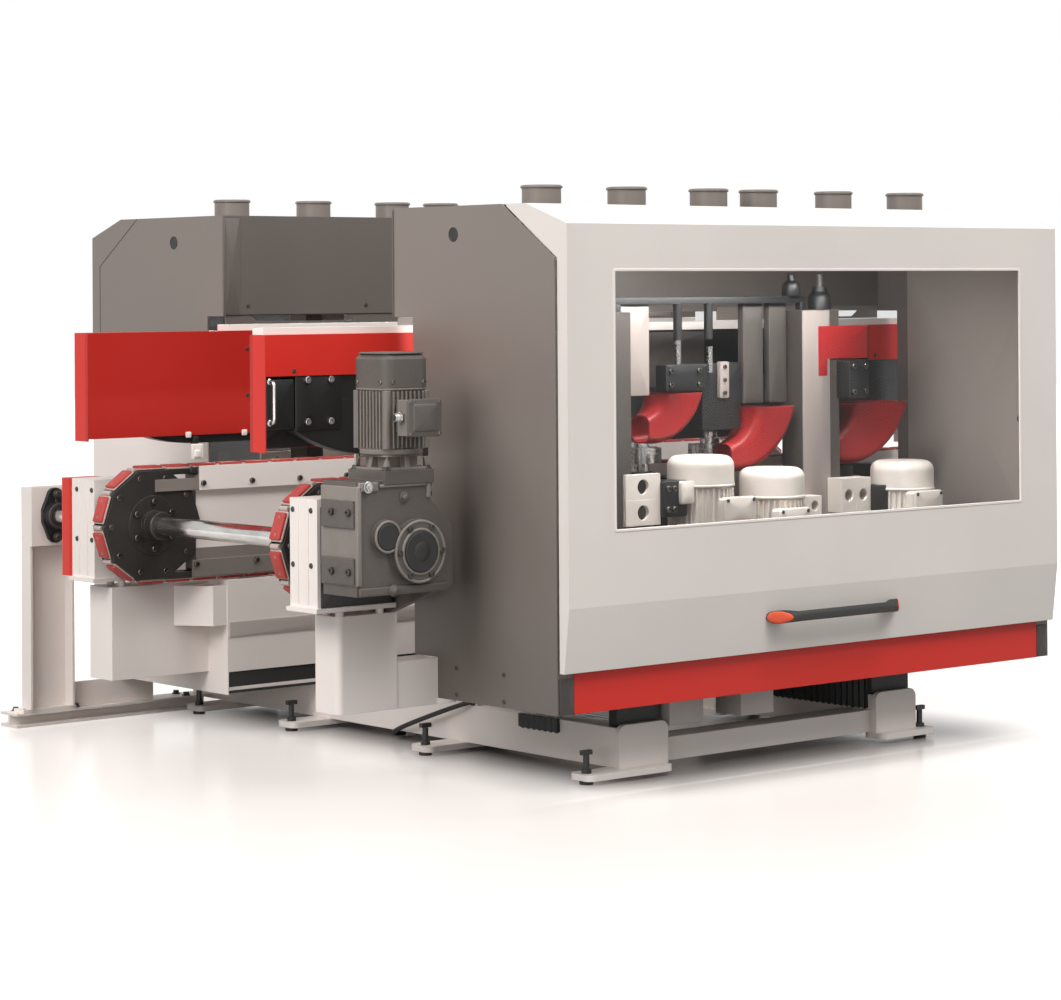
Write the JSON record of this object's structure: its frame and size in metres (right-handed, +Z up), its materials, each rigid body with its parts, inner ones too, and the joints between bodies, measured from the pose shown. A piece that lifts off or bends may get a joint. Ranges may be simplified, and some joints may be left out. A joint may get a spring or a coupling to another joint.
{
  "type": "double end tenoner",
  "caption": "Floor-standing double end tenoner: a fixed and a sliding hooded tool unit with chain feeds, pressure beams and a shared drive shaft on one base frame.",
  "frame": {"origin": "on the floor under the middle of the machine", "axes": "+X along the feed from the drive end to the outfeed end, +Y from the sliding unit to the fixed unit, +Z up"},
  "size_m": [3.362, 2.79, 1.874],
  "materials": {
    "panel_grey": "satin paint",
    "door_grey": "satin paint",
    "frame_white": "satin paint",
    "signal_red": "satin paint",
    "machine_grey": "painted casting",
    "dark_iron": "blackened",
    "black_paint": "matt",
    "bright_steel": "ground",
    "beam_black": "black beam with a white carrier",
    "motor_white": "painted ribbed casting",
    "tinted_pane": "smoked clear sheet",
    "cable_black": "matt",
    "handle_black": "black bar with orange-red ends"
  },
  "bodies": {
    "base": {"base_cross_beams": "frame_white", "base_side_beams": "frame_white", "levelling_screws": "black_paint", "guide_rails": "bright_steel", "supply_cable": "cable_black", "post_floor_beam": "frame_white", "shaft_post": "frame_white", "post_bearing": "black_paint", "fixed_cabinet": "frame_white", "fixed_bracket_cover": "signal_red", "fixed_end_panels": "panel_grey", "fixed_roof": "panel_grey", "fixed_dust_ports": "panel_grey", "fixed_kick_strip": "signal_red", "fixed_chain_beam": "frame_white", "fixed_feed_chain": "dark_iron", "fixed_bearing_brackets": "frame_white", "fixed_tool_frame": "machine_grey", "fixed_spindle_motors": "motor_white", "fixed_dust_hoods": "signal_red"},
    "moving_unit": {"moving_carriage": "frame_white", "moving_pedestals": "frame_white", "gearbox": "machine_grey", "drive_motor": "machine_grey", "motor_fan_cowl": "machine_grey", "moving_end_panels": "panel_grey", "moving_roof": "panel_grey", "moving_dust_ports": "panel_grey", "moving_kick_strip": "signal_red", "moving_chain_beam": "frame_white", "moving_feed_chain": "dark_iron", "moving_bearing_brackets": "frame_white", "moving_tool_frame": "machine_grey", "moving_spindle_motors": "motor_white", "moving_dust_hoods": "signal_red"},
    "feed_shaft": {"drive_shaft": "bright_steel", "moving_drive_wheel": "dark_iron"},
    "fixed_wheel": {"fixed_drive_wheel": "dark_iron"},
    "moving_idler": {"moving_idler_wheel": "dark_iron"},
    "moving_pressure": {"moving_pressure_beam": "beam_black", "moving_pressure_cover": "signal_red"},
    "moving_door": {"moving_door": "door_grey", "moving_window": "tinted_pane", "moving_door_handle": "handle_black"},
    "moving_strut_barrel": {"moving_strut_cylinders": "black_paint"},
    "moving_strut_rod": {"moving_strut_rods": "bright_steel"},
    "moving_spindle_1": {"moving_cutter_1": "bright_steel"},
    "moving_spindle_2": {"moving_cutter_2": "bright_steel"},
    "moving_spindle_3": {"moving_cutter_3": "bright_steel"},
    "fixed_idler": {"fixed_idler_wheel": "dark_iron"},
    "fixed_pressure": {"fixed_pressure_beam": "beam_black", "fixed_pressure_cover": "signal_red"},
    "fixed_door": {"fixed_door": "door_grey", "fixed_window": "tinted_pane", "fixed_door_handle": "handle_black"},
    "fixed_strut_barrel": {"fixed_strut_cylinders": "black_paint"},
    "fixed_strut_rod": {"fixed_strut_rods": "bright_steel"},
    "fixed_spindle_1": {"fixed_cutter_1": "bright_steel"},
    "fixed_spindle_2": {"fixed_cutter_2": "bright_steel"},
    "fixed_spindle_3": {"fixed_cutter_3": "bright_steel"}
  },
  "joints": [
    {"name": "width_slide", "type": "slide", "parent": "base", "child": "moving_unit", "axis": [0, 1, 0], "range_m": [0, 0.4]},
    {"name": "feed_turn", "type": "hinge", "parent": "moving_unit", "child": "feed_shaft", "pos_m": [-1.42, -0.6, 0.75], "axis": [0, 1, 0], "continuous": true},
    {"name": "fixed_wheel_turn", "type": "hinge", "parent": "base", "child": "fixed_wheel", "pos_m": [-1.42, 0.516, 0.75], "axis": [0, 1, 0], "continuous": true},
    {"name": "moving_idler_turn", "type": "hinge", "parent": "moving_unit", "child": "moving_idler", "pos_m": [1.43539, -0.516, 0.75], "axis": [0, 1, 0], "continuous": true},
    {"name": "moving_pressure_lift", "type": "slide", "parent": "moving_unit", "child": "moving_pressure", "axis": [0, 0, 1], "range_m": [-0.06, 0]},
    {"name": "moving_door_hinge", "type": "hinge", "parent": "moving_unit", "child": "moving_door", "pos_m": [0, -1.04, 1.79], "axis": [-1, 0, 0], "range_deg": [0, 75]},
    {"name": "moving_strut_tilt", "type": "hinge", "parent": "moving_unit", "child": "moving_strut_barrel", "pos_m": [0, -1.25, 1.08], "axis": [-1, 0, 0], "range_deg": [0, 6.5]},
    {"name": "moving_strut_stroke", "type": "slide", "parent": "moving_strut_barrel", "child": "moving_strut_rod", "axis": [0, -0.0859, 0.9963], "range_m": [0, 0.35]},
    {"name": "moving_spindle_1_turn", "type": "hinge", "parent": "moving_unit", "child": "moving_spindle_1", "pos_m": [-0.246, -0.685, 0.8], "axis": [0, 0, 1], "continuous": true},
    {"name": "moving_spindle_2_turn", "type": "hinge", "parent": "moving_unit", "child": "moving_spindle_2", "pos_m": [0.08, -0.685, 0.8], "axis": [0, 0, 1], "continuous": true},
    {"name": "moving_spindle_3_turn", "type": "hinge", "parent": "moving_unit", "child": "moving_spindle_3", "pos_m": [0.714, -0.685, 0.8], "axis": [0, 0, 1], "continuous": true},
    {"name": "fixed_idler_turn", "type": "hinge", "parent": "base", "child": "fixed_idler", "pos_m": [1.43539, 0.516, 0.75], "axis": [0, 1, 0], "continuous": true},
    {"name": "fixed_pressure_lift", "type": "slide", "parent": "base", "child": "fixed_pressure", "axis": [0, 0, 1], "range_m": [-0.06, 0]},
    {"name": "fixed_door_hinge", "type": "hinge", "parent": "base", "child": "fixed_door", "pos_m": [0, 1.04, 1.79], "axis": [1, 0, 0], "range_deg": [0, 75]},
    {"name": "fixed_strut_tilt", "type": "hinge", "parent": "base", "child": "fixed_strut_barrel", "pos_m": [0, 1.25, 1.08], "axis": [1, 0, 0], "range_deg": [0, 6.5]},
    {"name": "fixed_strut_stroke", "type": "slide", "parent": "fixed_strut_barrel", "child": "fixed_strut_rod", "axis": [0, 0.0859, 0.9963], "range_m": [0, 0.35]},
    {"name": "fixed_spindle_1_turn", "type": "hinge", "parent": "base", "child": "fixed_spindle_1", "pos_m": [-0.246, 0.685, 0.8], "axis": [0, 0, 1], "continuous": true},
    {"name": "fixed_spindle_2_turn", "type": "hinge", "parent": "base", "child": "fixed_spindle_2", "pos_m": [0.08, 0.685, 0.8], "axis": [0, 0, 1], "continuous": true},
    {"name": "fixed_spindle_3_turn", "type": "hinge", "parent": "base", "child": "fixed_spindle_3", "pos_m": [0.714, 0.685, 0.8], "axis": [0, 0, 1], "continuous": true}
  ],
  "couplings": [
    {"joint": "fixed_wheel_turn", "follows": "feed_turn", "ratio": 1},
    {"joint": "moving_idler_turn", "follows": "feed_turn", "ratio": 1},
    {"joint": "moving_strut_tilt", "follows": "moving_door_hinge", "ratio": 0.079808},
    {"joint": "moving_strut_stroke", "follows": "moving_door_hinge", "m_per_rad": 0.26394},
    {"joint": "fixed_idler_turn", "follows": "feed_turn", "ratio": 1},
    {"joint": "fixed_strut_tilt", "follows": "fixed_door_hinge", "ratio": 0.079808},
    {"joint": "fixed_strut_stroke", "follows": "fixed_door_hinge", "m_per_rad": 0.26394}
  ]
}
